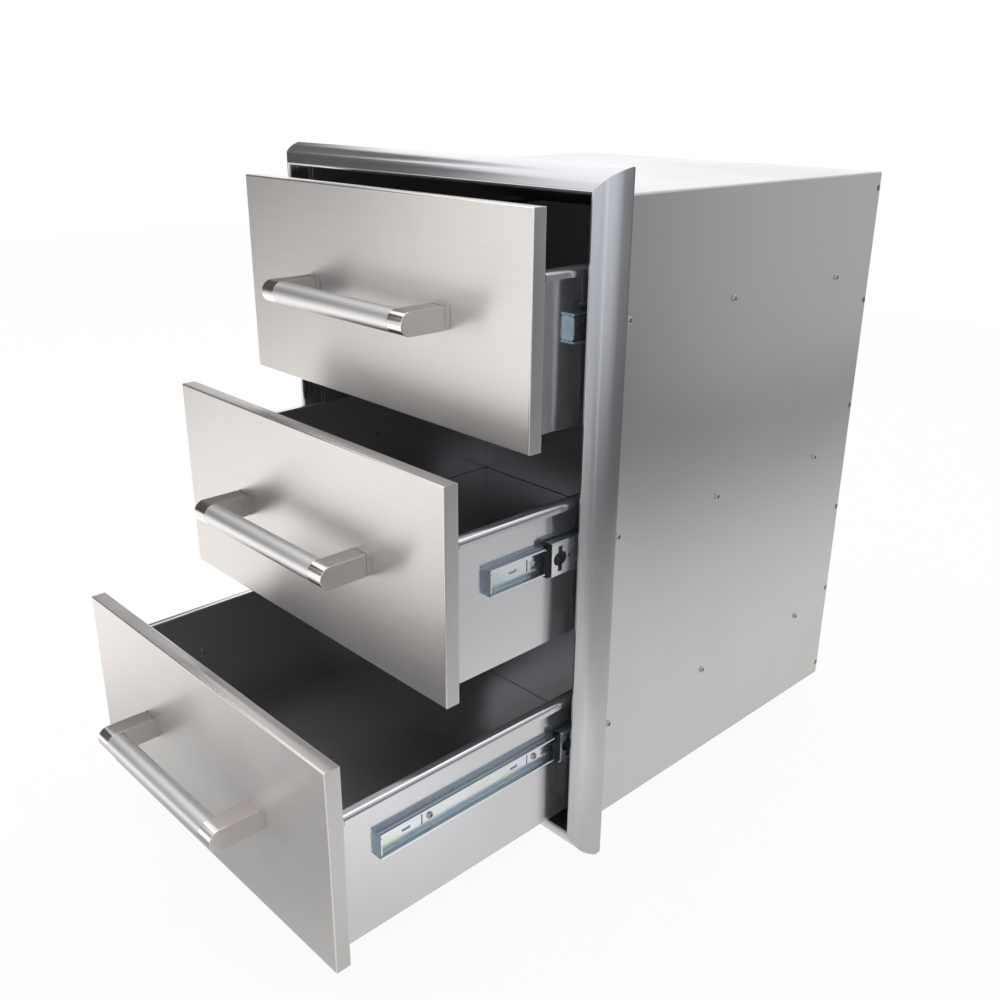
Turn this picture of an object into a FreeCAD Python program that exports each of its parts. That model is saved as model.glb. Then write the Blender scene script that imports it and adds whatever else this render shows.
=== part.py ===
import FreeCAD, Part
import math
import os

# Built-in stainless drawer unit: a sheet box with a mitred face frame, and three full-extension drawers.
# Millimetres. X to the right, Y to the back, Z up. The origin is the centre of the box in the plane where the
# frame's back flange meets the kitchen's face. The drawers are modelled pulled out in steps.

# Box behind the frame
box_width = 431.8
box_height = 635.0
box_behind_slides = 35.5
shell_sheet = 1.0
shell_bend = 3.0
shell_floor_lip = 22.0
back_lip = 18.0

# Face frame, four rolled profiles that meet in mitres
frame_side_overhang = 24.7
frame_top_overhang = 24.4
frame_bottom_overhang = 22.0
frame_face_width = 22.3
frame_bottom_width = 29.5
frame_nose_depth = 32.6
frame_crown_inset = 7.3
frame_crown_depth = 18.8
frame_nose_radius = 4.0
frame_top_corner_radius = 1.5
frame_bottom_corner_radius = 5.0
frame_sheet = 1.2

# Drawer fronts, stacked in the frame's opening
drawer_names = ["top", "middle", "bottom"]
front_side_gap = 5.9
front_top_gap = 6.6
front_bottom_gap = 1.5
front_between_gap = 4.0
front_set_back = 4.6
front_depth = 16.2
front_sheet = 1.0
front_lip = 16.0
front_edge_radius = 1.2
front_back_radius = 2.0
liner_sheet = 1.0
liner_top_inset = 8.0

# Drawer tub, one folded sheet with a channel along each top edge, and a back
tub_sheet = 1.0
slide_behind_tub = 13.3
tub_top_drop = 51.0
tub_floor_rise = 10.3
tub_bend = 2.0
hem_width = 9.2
hem_drop = 8.5
tub_back_lip = 10.0
tub_back_gap = 0.8

# Ball-bearing slides, three members a side
slide_length = 400.0
slide_set_back = 21.5
slide_thickness = 12.7
slide_below_centre = 1.6
slide_sheet = 1.2
slide_bend = 1.8
cabinet_member_height = 45.7
cabinet_member_depth = 10.5
carrier_height = 35.0
carrier_depth = 7.3
carrier_web_gap = 1.2
drawer_member_set_back = 4.8
drawer_member_height = 26.0
drawer_member_depth = 7.3
ball_bite = 0.2
ball_clearance = 0.2
race_ridge = 1.0
end_tab_height = 21.0
end_tab_radius = 3.0
cage_sheet = 0.5
cage_margin = 8.0
outer_cage_length = 150.0
outer_cage_start = 105.0
inner_cage_length = 130.0
inner_cage_start = 135.0
inner_cage_gap = 0.7
balls_in_row = 5
bumper_reach = 9.0
bumper_tongue = 7.0
bumper_notch = 6.0
bumper_tail = 8.0
bumper_clearance = 0.3
access_hole_length = 17.0
access_hole_height = 12.6
access_slot_width = 5.5
access_slot_height = 25.0
rivet_hole_radius = 2.0
rivet_hole_after = 12.3
first_hole = 11.0
second_hole_pitch = 160.0
last_hole_before_end = 37.0

# How far each carrier and each drawer is pulled out in the modelled pose
carrier_out = {"top": 29.6, "middle": 76.5, "bottom": 56.5}
drawer_out = {"top": 59.3, "middle": 154.4, "bottom": 281.3}

# Fixings
cabinet_screw_radius = 2.0
cabinet_head_radius = 3.5
cabinet_head_height = 1.9
tub_screw_radius = 2.0
tub_screw_head_radius = 3.4
tub_screw_head_height = 1.9
tub_screw_tip = 3.6
tub_screw_first = 64.0
tub_screw_pitch = 132.0
tub_screw_count = 3
screw_clearance = 0.05
slot_before_screw = 27.0
slot_length = 10.0
slot_width = 3.0
catch_before_screw = 9.1
catch_height = 11.0
catch_width = 1.6

# Bar handle
handle_half_length = 109.0
handle_post_width = 20.0
handle_diameter = 22.0
handle_reach = 52.5
handle_tube_wall = 1.5
handle_spigot_length = 12.0
handle_spigot_clearance = 0.1
handle_foot = 2.5
handle_groove = 0.5
handle_edge = 0.8
handle_screw_radius = 2.5
handle_screw_depth = 14.0
handle_screw_head_radius = 4.7
handle_screw_head_height = 3.0

# Places worked out from the sizes above
box_depth = slide_set_back + slide_length + box_behind_slides
half_width = box_width / 2
half_height = box_height / 2
opening_half_width = half_width + frame_side_overhang - frame_face_width
opening_top = half_height + frame_top_overhang - frame_face_width
opening_bottom = -half_height - frame_bottom_overhang + frame_bottom_width
opening_height = opening_top - opening_bottom
front_half_width = opening_half_width - front_side_gap
front_count = len(drawer_names)
stack_height = opening_height - front_top_gap - front_bottom_gap
front_height = (stack_height - (front_count - 1) * front_between_gap) / front_count
front_pitch = front_height + front_between_gap
front_face_y = front_set_back - frame_nose_depth
liner_front_y = front_face_y + front_depth
tub_front_y = liner_front_y + liner_sheet
tub_end_y = slide_set_back + drawer_member_set_back + slide_length - slide_behind_tub
wall_x = half_width - shell_sheet
tub_half_width = wall_x - slide_thickness
tub_floor_z = tub_floor_rise - front_height
tub_top_z = -tub_top_drop
slide_z = -front_height / 2 - slide_below_centre
handle_z = -front_height / 2
handle_axis_y = front_face_y - handle_reach + handle_diameter / 2

cabinet_web_x = wall_x - slide_sheet
cabinet_tip_x = wall_x - cabinet_member_depth
carrier_outer_x = cabinet_web_x - carrier_web_gap
carrier_web_x = carrier_outer_x - slide_sheet
carrier_tip_x = carrier_outer_x - carrier_depth
drawer_web_x = tub_half_width + slide_sheet
drawer_tip_x = tub_half_width + drawer_member_depth
ball_x = (carrier_tip_x + drawer_tip_x) / 2
outer_gap_low = carrier_height / 2
outer_gap_high = cabinet_member_height / 2 - slide_sheet
inner_gap_low = drawer_member_height / 2
inner_gap_high = carrier_height / 2 - slide_sheet
outer_ball_radius = (outer_gap_high - outer_gap_low) / 2 + ball_bite
inner_ball_radius = (inner_gap_high - inner_gap_low) / 2 + ball_bite
outer_ball_z = (outer_gap_high + outer_gap_low) / 2
inner_ball_z = (inner_gap_high + inner_gap_low) / 2
cabinet_holes = [first_hole, first_hole + second_hole_pitch, slide_length - last_hole_before_end]
tub_holes = [tub_screw_first + i * tub_screw_pitch for i in range(tub_screw_count)]


def vec(x, y, z):
    return FreeCAD.Vector(x, y, z)


def block(x0, x1, y0, y1, z0, z1):
    """A box between two X, two Y and two Z values."""
    return Part.makeBox(x1 - x0, y1 - y0, z1 - z0, vec(x0, y0, z0))


def rod(centre, direction, radius, length):
    """A cylinder from a centre point along a direction."""
    return Part.makeCylinder(radius, length, centre, direction)


def mirrored(shape):
    """The left-hand twin of a right-hand shape."""
    return shape.mirror(vec(0, 0, 0), vec(1, 0, 0))


def moved(shape, dx, dy, dz):
    """A copy of a shape, shifted."""
    copy = shape.copy()
    copy.translate(vec(dx, dy, dz))
    return copy


def edges_along(shape, axis, test):
    """Straight edges that run along an axis (0, 1 or 2) and whose middle passes a test."""
    found = []
    for edge in shape.Edges:
        if len(edge.Vertexes) != 2:
            continue
        span = edge.Vertexes[1].Point.sub(edge.Vertexes[0].Point)
        if span.Length < 1e-6 or abs(span[axis]) < 0.9999 * span.Length:
            continue
        if test(edge.CenterOfMass):
            found.append(edge)
    return found


def near(a, b):
    return abs(a - b) < 0.01


def group(solids):
    return Part.makeCompound(solids)


def rounded_prism(half_x, z0, z1, y0, y1, radius):
    """A block centred on X = 0 whose four edges along Y are rounded."""
    solid = block(-half_x, half_x, y0, y1, z0, z1)
    return solid.makeFillet(radius, edges_along(solid, 1, lambda p: True))


# Box


def shell_wrap():
    """Sides and top in one folded sheet, with a lip turned in under each side."""
    front = -frame_sheet
    outer = rounded_prism(half_width, -half_height, half_height, front, box_depth, shell_bend)
    inner_radius = shell_bend - shell_sheet
    inner = rounded_prism(wall_x, -half_height + shell_sheet, half_height - shell_sheet,
                          front - 1, box_depth + 1, inner_radius)
    floor_half = half_width - shell_floor_lip
    floor_cut = block(-floor_half, floor_half, front - 1, box_depth + 1,
                      -half_height - 1, -half_height + 2 * shell_sheet)
    wrap = outer.cut(inner).cut(floor_cut)
    holes = [screw_hole_right(y, z) for y, z in cabinet_screw_places()]
    return wrap.cut(group(holes + [mirrored(hole) for hole in holes]))


def shell_floor():
    """Flat floor sheet that lies on the wrap's two lips."""
    half = wall_x - shell_bend
    low = -half_height + shell_sheet
    return block(-half, half, -frame_sheet, box_depth, low, low + shell_sheet)


def shell_back():
    """Back sheet, a tray whose lips are welded inside the wrap and on the floor."""
    low = -half_height + 2 * shell_sheet
    high = half_height - shell_sheet
    tray = rounded_prism(wall_x, low, high, box_depth - back_lip, box_depth, shell_bend)
    inner = rounded_prism(wall_x - shell_sheet, low + shell_sheet, high - shell_sheet,
                          box_depth - back_lip - 1, box_depth - shell_sheet, shell_bend - shell_sheet)
    return tray.cut(inner)


# Face frame


def frame_section(width, inward):
    """Frame profile in a flat (outward, depth) plane, with the opening's edge at 0. Its back flange reaches
    inward past that edge to the box, or stops short of it where inward is negative."""
    crown = (frame_face_width - frame_crown_inset) * width / frame_face_width
    top = vec(0, -frame_nose_depth, 0)
    tip = vec(width, 0, 0)
    arc = Part.Arc(top, vec(crown, -frame_crown_depth, 0), tip).toShape()
    back = Part.makeLine(tip, vec(0, 0, 0))
    side = Part.makeLine(vec(0, 0, 0), top)
    body = Part.Face(Part.Wire([arc, back, side])).extrude(vec(0, 0, 1))
    nose = edges_along(body, 2, lambda p: near(p.x, 0) and near(p.y, -frame_nose_depth))
    body = body.makeFillet(frame_nose_radius, nose)
    face = [f for f in body.Faces if near(f.CenterOfMass.z, 0)][0]
    ring = face.cut(face.makeOffset2D(-frame_sheet))
    reach = Part.makePlane(abs(inward), frame_sheet, vec(min(-inward, 0), -frame_sheet, 0))
    if inward > 0:
        return ring.fuse(reach).removeSplitter().Faces[0]
    return ring.cut(reach).Faces[0]


def frame_corner(sign_x, is_top):
    """Opening corner of the frame, in X and Z."""
    return vec(sign_x * opening_half_width, 0, opening_top if is_top else opening_bottom)


def frame_tip(sign_x, is_top):
    """Outer corner of the frame, where the mitre ends."""
    rise = frame_face_width if is_top else -frame_bottom_width
    return frame_corner(sign_x, is_top).add(vec(sign_x * frame_face_width, 0, rise))


def frame_mitre(ends):
    """Prism over the region between two mitres, given the sign and level of its two corners."""
    points = []
    for stretch, corners in ((-0.5, ends), (2, ends[::-1])):
        for sign_x, is_top in corners:
            corner = frame_corner(sign_x, is_top)
            points.append(corner.add(frame_tip(sign_x, is_top).sub(corner) * stretch))
    ring = [vec(p.x, -2 * frame_nose_depth, p.z) for p in points]
    return Part.Face(Part.makePolygon(ring + [ring[0]])).extrude(vec(0, 3 * frame_nose_depth, 0))


def frame_outline():
    """Block over the whole frame with its four outer corners softened."""
    half = opening_half_width + frame_face_width
    front = -2 * frame_nose_depth
    solid = block(-half, half, front, frame_nose_depth,
                  opening_bottom - frame_bottom_width, opening_top + frame_face_width)
    solid = solid.makeFillet(frame_top_corner_radius, edges_along(solid, 1, lambda p: p.z > 0))
    return solid.makeFillet(frame_bottom_corner_radius, edges_along(solid, 1, lambda p: p.z < 0))


def frame_piece(width, inward, outward, ends):
    """One length of the profile that faces outward, trimmed between the mitres of its two ends."""
    first = frame_corner(*ends[0])
    second = frame_corner(*ends[1])
    back = vec(0, 1, 0)
    along = outward.cross(back)
    middle = first.add(second).multiply(0.5)
    length = second.sub(first).Length + 4 * frame_face_width
    start = middle.sub(along * (length / 2))
    bar = frame_section(width, inward).extrude(vec(0, 0, length))
    bar.Placement = FreeCAD.Placement(FreeCAD.Matrix(outward.x, back.x, along.x, start.x,
                                                     outward.y, back.y, along.y, start.y,
                                                     outward.z, back.z, along.z, start.z,
                                                     0, 0, 0, 1))
    return bar.common(frame_mitre(ends)).common(frame_outline())


def frame_rail(is_top):
    width = frame_face_width if is_top else frame_bottom_width
    level = opening_top if is_top else opening_bottom
    outward = vec(0, 0, 1 if is_top else -1)
    return frame_piece(width, abs(level) - half_height, outward, [(-1, is_top), (1, is_top)])


def frame_stile(sign_x):
    return frame_piece(frame_face_width, opening_half_width - half_width, vec(sign_x, 0, 0),
                       [(sign_x, False), (sign_x, True)])


# Slides, modelled on the right-hand side with the slide's axis at Z = 0


def channel(web_x, tip_x, height, y0, y1):
    """A C-shaped member: a web at web_x and two flanges that reach to tip_x."""
    side = 1 if tip_x < web_x else -1
    low_x = min(web_x, tip_x)
    high_x = max(web_x, tip_x)
    half = height / 2
    outer = block(low_x, high_x, y0, y1, -half, half)
    outer = outer.makeFillet(slide_bend, edges_along(outer, 1, lambda p: near(p.x, web_x)))
    inner_half = half - slide_sheet
    inner_web = web_x - side * slide_sheet
    inner_low = min(inner_web, tip_x - side)
    inner_high = max(inner_web, tip_x - side)
    inner = block(inner_low, inner_high, y0 - 1, y1 + 1, -inner_half, inner_half)
    inner = inner.makeFillet(slide_bend - slide_sheet, edges_along(inner, 1, lambda p: near(p.x, inner_web)))
    return outer.cut(inner)


def races(radius, z, y0, y1):
    """The two grooves in which a row of balls runs."""
    groove = radius + ball_clearance
    return [rod(vec(ball_x, y0 - 1, sign * z), vec(0, 1, 0), groove, y1 - y0 + 2) for sign in (-1, 1)]


def slide_span():
    return slide_set_back, slide_set_back + slide_length


def cabinet_screw_places():
    """Y and Z of the screws that hold the cabinet members, on one side of the box."""
    places = []
    for index in range(front_count):
        z = front_top(index) + slide_z
        places += [(slide_set_back + hole, z) for hole in cabinet_holes]
    return places


def screw_hole_right(y, z):
    """Hole through the box wall and the cabinet member."""
    length = shell_sheet + slide_sheet + 2
    return rod(vec(cabinet_web_x - 1, y, z), vec(1, 0, 0), cabinet_screw_radius + screw_clearance, length)


def cabinet_member():
    y0, y1 = slide_span()
    member = channel(wall_x, cabinet_tip_x, cabinet_member_height, y0, y1)
    cuts = races(outer_ball_radius, outer_ball_z, y0, y1)
    cuts += [screw_hole_right(slide_set_back + hole, 0) for hole in cabinet_holes]
    return member.cut(group(cuts))


def carrier():
    """Middle member, with an access hole and slot over the first cabinet screw."""
    y0, y1 = slide_span()
    member = channel(carrier_outer_x, carrier_tip_x, carrier_height, y0, y1)
    member = member.cut(group(races(outer_ball_radius, outer_ball_z, y0, y1)))
    member = member.cut(group(races(inner_ball_radius, inner_ball_z, y0, y1)))
    low_x = carrier_web_x - 1
    high_x = carrier_outer_x + 1
    half_slot = access_slot_width / 2
    half_hole = access_hole_length / 2
    for hole in cabinet_holes:
        y = slide_set_back + hole
        window = block(low_x, high_x, y - half_hole, y + half_hole, -access_hole_height / 2, access_hole_height / 2)
        window = window.makeFillet(0.49 * access_hole_height, edges_along(window, 0, lambda p: True))
        slot = block(low_x, high_x, y - half_slot, y + half_slot, -access_slot_height / 2, access_slot_height / 2)
        rivet = rod(vec(low_x, y + rivet_hole_after, 0), vec(1, 0, 0), rivet_hole_radius, slide_sheet + 2)
        member = member.cut(window.fuse(slot)).cut(rivet)
    return member


def drawer_member():
    """Inner member, screwed to the tub, with a bent tab at its front end, a ridge inside each race, and a slot
    and a sprung catch cut beside each screw."""
    y0 = slide_set_back + drawer_member_set_back
    y1 = y0 + slide_length
    member = channel(tub_half_width, drawer_tip_x, drawer_member_height, y0, y1)
    inside = drawer_member_height / 2 - slide_sheet
    ridge = inner_ball_z - inside + race_ridge
    within = block(tub_half_width + slide_sheet / 2, drawer_tip_x, y0, y1, -inside - 0.1, inside + 0.1)
    for sign in (-1, 1):
        bar = rod(vec(ball_x, y0, sign * inner_ball_z), vec(0, 1, 0), ridge, slide_length)
        member = member.fuse(bar.common(within))
    tab = block(tub_half_width, drawer_tip_x, y0, y0 + slide_sheet, -end_tab_height / 2, end_tab_height / 2)
    tab = tab.makeFillet(end_tab_radius, edges_along(tab, 1, lambda p: near(p.x, drawer_tip_x)))
    member = member.fuse(tab)
    cuts = races(inner_ball_radius, inner_ball_z, y0, y1)
    x = tub_half_width - 1
    depth = slide_sheet + 2
    for hole in tub_holes:
        y = slide_set_back + hole
        cuts.append(rod(vec(x, y, 0), vec(1, 0, 0), tub_screw_radius + screw_clearance, depth))
        slot_y = y - slot_before_screw
        half = slot_width / 2
        straight = block(x, x + depth, slot_y - slot_length / 2 + half, slot_y + slot_length / 2 - half, -half, half)
        ends = [rod(vec(x, slot_y + s * (slot_length / 2 - half), 0), vec(1, 0, 0), half, depth) for s in (-1, 1)]
        cuts.append(straight.fuse(ends))
        catch_y = y - catch_before_screw
        cuts.append(block(x, x + depth, catch_y - catch_width / 2, catch_y + catch_width / 2,
                          -catch_height / 2, catch_height / 2))
    return member.cut(group(cuts))


def cage(web_low_x, tip_x, ball_z, ball_radius, start, length):
    """A thin C-shaped strip with a row of balls in each flange, as separate solids."""
    y0 = slide_set_back + start
    y1 = y0 + length
    half = ball_z + cage_sheet / 2
    strip = block(tip_x, web_low_x + cage_sheet, y0, y1, -half, half)
    strip = strip.cut(block(tip_x - 1, web_low_x, y0 - 1, y1 + 1, -half + cage_sheet, half - cage_sheet))
    pitch = (length - 2 * cage_margin) / (balls_in_row - 1)
    balls = []
    pockets = []
    for sign in (-1, 1):
        for i in range(balls_in_row):
            centre = vec(ball_x, y0 + cage_margin + i * pitch, sign * ball_z)
            balls.append(Part.makeSphere(ball_radius, centre))
            low = vec(centre.x, centre.y, centre.z - cage_sheet)
            pockets.append(rod(low, vec(0, 0, 1), ball_radius + ball_clearance, 2 * cage_sheet))
    return [strip.cut(group(pockets))] + balls


def outer_cage():
    web_low = carrier_outer_x + (carrier_web_gap - cage_sheet) / 2
    return cage(web_low, carrier_tip_x, outer_ball_z, outer_ball_radius, outer_cage_start, outer_cage_length)


def inner_cage():
    web_low = drawer_tip_x + inner_cage_gap
    return cage(web_low, carrier_tip_x, inner_ball_z, inner_ball_radius, inner_cage_start, inner_cage_length)


def bumper():
    """Plastic guide in the carrier's mouth, which the drawer member runs through. Its web ends in a notched
    tongue."""
    y0 = slide_set_back - bumper_reach
    y1 = slide_set_back + bumper_tail
    high_x = carrier_web_x - bumper_clearance / 2
    low_x = drawer_tip_x + bumper_clearance
    half = inner_gap_high - bumper_clearance
    hollow_half = inner_gap_low + bumper_clearance
    solid = block(carrier_tip_x, high_x, y0, y1, -half, half)
    solid = solid.cut(block(carrier_tip_x - 1, low_x, y0 - 1, y1 + 1, -hollow_half, hollow_half))
    tongue = block(low_x, high_x, y0 - bumper_tongue, y0, -hollow_half, hollow_half)
    notch = rod(vec(low_x - 1, y0 - bumper_tongue, 0), vec(1, 0, 0), bumper_notch, high_x - low_x + 2)
    return solid.fuse(tongue.cut(notch))


def domed_screw(seat, outward, head_radius, head_height, shank_radius, shank_length):
    """A screw whose domed head sits on the point seat, with its shank pointing the other way."""
    dome_radius = (head_radius ** 2 + head_height ** 2) / (2 * head_height)
    centre = seat.add(outward * (head_height - dome_radius))
    ball = Part.makeSphere(dome_radius, centre)
    head = ball.common(Part.makeCylinder(head_radius, head_height + 1, seat, outward))
    shank = Part.makeCylinder(shank_radius, shank_length, seat, outward * -1)
    return head.fuse(shank)


def cabinet_screws():
    """Screws through the box walls into the cabinet members, with domed heads outside."""
    solids = []
    for y, z in cabinet_screw_places():
        screw = domed_screw(vec(half_width, y, z), vec(1, 0, 0), cabinet_head_radius, cabinet_head_height,
                            cabinet_screw_radius, shell_sheet + slide_sheet)
        solids += [screw, mirrored(screw)]
    return group(solids)


# Drawer pieces, modelled closed with the front's top edge at Z = 0


def front_pan():
    """Front skin: a pan folded from one sheet, with lips turned in round its back."""
    pan = block(-front_half_width, front_half_width, front_face_y, liner_front_y, -front_height, 0)
    front_edges = edges_along(pan, 0, lambda p: near(p.y, front_face_y))
    front_edges += edges_along(pan, 2, lambda p: near(p.y, front_face_y))
    pan = pan.makeFillet(front_edge_radius, front_edges)
    back_edges = edges_along(pan, 0, lambda p: near(p.y, liner_front_y))
    back_edges += edges_along(pan, 2, lambda p: near(p.y, liner_front_y))
    pan = pan.makeFillet(front_back_radius, back_edges)
    hollow_x = front_half_width - front_sheet
    pan = pan.cut(block(-hollow_x, hollow_x, front_face_y + front_sheet, liner_front_y - front_sheet,
                        -front_height + front_sheet, -front_sheet))
    mouth_x = front_half_width - front_lip
    pan = pan.cut(block(-mouth_x, mouth_x, front_face_y + 2 * front_sheet, liner_front_y + 1,
                        -front_height + front_lip, -front_lip))
    return pan.cut(group([handle_screw_hole(sign) for sign in (-1, 1)]))


def front_liner():
    """Sheet that closes the pan's back and is the tub's front wall."""
    return block(-tub_half_width, tub_half_width, liner_front_y, tub_front_y, tub_floor_z, -liner_top_inset)


def tub():
    """Floor and two sides in one folded sheet, with an outward channel along each top edge."""
    y0 = tub_front_y
    y1 = tub_end_y
    inner_half = tub_half_width - tub_sheet
    hem_x = tub_half_width + hem_width
    outer = block(-tub_half_width, tub_half_width, y0, y1, tub_floor_z, tub_top_z)
    outer = outer.makeFillet(tub_bend, edges_along(outer, 1, lambda p: near(p.z, tub_floor_z)))
    hem = block(-hem_x, hem_x, y0, y1, tub_top_z - hem_drop, tub_top_z)
    hem = hem.makeFillet(tub_bend, edges_along(hem, 1, lambda p: near(p.z, tub_top_z)))
    under = block(-hem_x + tub_sheet, hem_x - tub_sheet, y0 - 1, y1 + 1, tub_top_z - hem_drop - 1,
                  tub_top_z - tub_sheet)
    under = under.makeFillet(tub_bend - tub_sheet, edges_along(under, 1, lambda p: near(p.z, tub_top_z - tub_sheet)))
    body = outer.fuse(hem.cut(under))
    floor = tub_floor_z + tub_sheet
    inner = block(-inner_half, inner_half, y0 - 1, y1 + 1, floor, tub_top_z + 1)
    inner = inner.makeFillet(tub_bend - tub_sheet, edges_along(inner, 1, lambda p: near(p.z, floor)))
    holes = [tub_screw_hole(hole, sign) for hole in tub_holes for sign in (-1, 1)]
    return body.cut(inner).cut(group(holes)).removeSplitter()


def tub_back():
    """Back of the tub, with lips turned to the rear that are welded to the sides and floor."""
    y1 = tub_end_y
    y0 = y1 - tub_back_lip
    half = tub_half_width - tub_sheet
    floor = tub_floor_z + tub_sheet
    tray = block(-half, half, y0, y1, floor, tub_top_z)
    tray = tray.makeFillet(tub_bend, edges_along(tray, 1, lambda p: near(p.z, floor)))
    front_edges = edges_along(tray, 2, lambda p: near(p.y, y0))
    front_edges += edges_along(tray, 0, lambda p: near(p.y, y0))
    tray = tray.makeFillet(tub_back_gap, front_edges)
    return tray.cut(block(-half + tub_sheet, half - tub_sheet, y0 + tub_sheet, y1 + 1,
                          floor + tub_sheet, tub_top_z - tub_sheet))


def tub_screw_hole(hole, sign):
    start = vec(sign * (tub_half_width + 1), slide_set_back + hole, slide_z)
    return rod(start, vec(-sign, 0, 0), tub_screw_radius + screw_clearance, tub_sheet + 2)


def handle_screw_x():
    return handle_half_length - handle_post_width / 2


def handle_screw_hole(sign):
    start = vec(sign * handle_screw_x(), front_face_y - 1, handle_z)
    return rod(start, vec(0, 1, 0), handle_screw_radius + screw_clearance, front_sheet + 2)


def drawer_screws():
    """Two handle screws from inside the front, and the screws that hold the slides to the tub."""
    solids = []
    for sign in (-1, 1):
        seat = vec(sign * handle_screw_x(), front_face_y + front_sheet, handle_z)
        solids.append(domed_screw(seat, vec(0, 1, 0), handle_screw_head_radius, handle_screw_head_height,
                                  handle_screw_radius, front_sheet + handle_screw_depth))
    for hole in tub_holes:
        seat = vec(drawer_web_x, slide_set_back + hole, slide_z)
        screw = domed_screw(seat, vec(1, 0, 0), tub_screw_head_radius, tub_screw_head_height,
                            tub_screw_radius, slide_sheet + tub_sheet + tub_screw_tip)
        solids += [screw, mirrored(screw)]
    return group(solids)


def handle_tube():
    half = handle_half_length - handle_post_width
    radius = handle_diameter / 2
    start = vec(-half, handle_axis_y, handle_z)
    outer = rod(start, vec(1, 0, 0), radius, 2 * half)
    return outer.cut(rod(vec(-half - 1, start.y, start.z), vec(1, 0, 0), radius - handle_tube_wall, 2 * half + 2))


def handle_post():
    """Right-hand end piece: a leg with a round front, a groove above its foot and a spigot for the tube."""
    radius = handle_diameter / 2
    x0 = handle_half_length - handle_post_width
    x1 = handle_half_length
    leg = block(x0, x1, handle_axis_y, front_face_y, handle_z - radius, handle_z + radius)
    nose = rod(vec(x0, handle_axis_y, handle_z), vec(1, 0, 0), radius, handle_post_width)
    body = leg.fuse(nose).removeSplitter()
    body = body.makeFillet(handle_edge, [e for e in body.Edges if near(e.CenterOfMass.x, x1)
                                         and not near(e.CenterOfMass.y, front_face_y)])
    groove_y = front_face_y - handle_foot
    around = block(x0 - 1, x1 + 1, groove_y - handle_groove, groove_y, handle_z - radius - 1, handle_z + radius + 1)
    around = around.cut(block(x0 + handle_groove, x1 - handle_groove, groove_y - 2 * handle_groove, groove_y + 1,
                              handle_z - radius + handle_groove, handle_z + radius - handle_groove))
    spigot_radius = radius - handle_tube_wall - handle_spigot_clearance
    spigot = rod(vec(x0 - handle_spigot_length, handle_axis_y, handle_z), vec(1, 0, 0),
                 spigot_radius, handle_spigot_length + 1)
    tapped = rod(vec(handle_screw_x(), front_face_y + 1, handle_z), vec(0, -1, 0),
                 handle_screw_radius + screw_clearance, handle_screw_depth + 2)
    return body.cut(around).fuse(spigot).cut(tapped)


# Assembly


def front_top(index):
    """Height of a front's top edge."""
    return opening_top - front_top_gap - index * front_pitch


def both_sides(solids):
    return group(solids + [mirrored(solid) for solid in solids])


def drawer_nodes(name, index):
    """All nodes of one drawer with its slides, in the modelled pose."""
    top_z = front_top(index)
    axis_z = top_z + slide_z
    out = drawer_out[name]
    half_way = carrier_out[name] / 2
    inner_way = carrier_out[name] + (out - carrier_out[name]) / 2
    nodes = {}
    on_drawer = {"front_pan": front_pan(), "front_liner": front_liner(), "tub": tub(), "tub_back": tub_back(),
                 "handle_tube": handle_tube(), "handle_post_right": handle_post(),
                 "handle_post_left": mirrored(handle_post()), "drawer_screws": drawer_screws()}
    for part, shape in on_drawer.items():
        nodes[part] = moved(shape, 0, -out, top_z)
    members = {"cabinet_member": (cabinet_member(), 0), "carrier": (carrier(), carrier_out[name]),
               "drawer_member": (drawer_member(), out)}
    for part, (shape, way) in members.items():
        nodes[part + "_right"] = moved(shape, 0, -way, axis_z)
        nodes[part + "_left"] = moved(mirrored(shape), 0, -way, axis_z)
    nodes["carrier_bumpers"] = moved(both_sides([bumper()]), 0, -carrier_out[name], axis_z)
    nodes["outer_ball_cages"] = moved(both_sides(outer_cage()), 0, -half_way, axis_z)
    nodes["inner_ball_cages"] = moved(both_sides(inner_cage()), 0, -inner_way, axis_z)
    return {name + "_" + part: shape for part, shape in nodes.items()}


def build():
    nodes = {"shell_wrap": shell_wrap(), "shell_floor": shell_floor(), "shell_back": shell_back(),
             "frame_top_rail": frame_rail(True), "frame_bottom_rail": frame_rail(False),
             "frame_left_stile": frame_stile(-1), "frame_right_stile": frame_stile(1),
             "cabinet_screws": cabinet_screws()}
    for index, name in enumerate(drawer_names):
        nodes.update(drawer_nodes(name, index))
    return nodes


os.makedirs("parts", exist_ok=True)
for node, shape in build().items():
    shape.exportStep("parts/" + node + ".step")
    print(node, len(shape.Solids), "solids", round(shape.Volume), shape.isValid())
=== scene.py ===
"""Looks of a built-in stainless drawer unit for an outdoor kitchen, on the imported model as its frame.

The box's sheets, the liners, the tubs' backs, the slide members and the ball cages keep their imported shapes
and get finishes. The face frame, the drawer fronts, the bar handles, the tubs, the slides' plastic guides
and all screws are modelled here. Sizes are in millimetres and the scene is in metres.
"""

from __future__ import annotations

import logging
import math
from dataclasses import dataclass, replace
from enum import Enum
from typing import Callable

import bmesh
import bpy
from mathutils import Matrix, Vector


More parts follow.
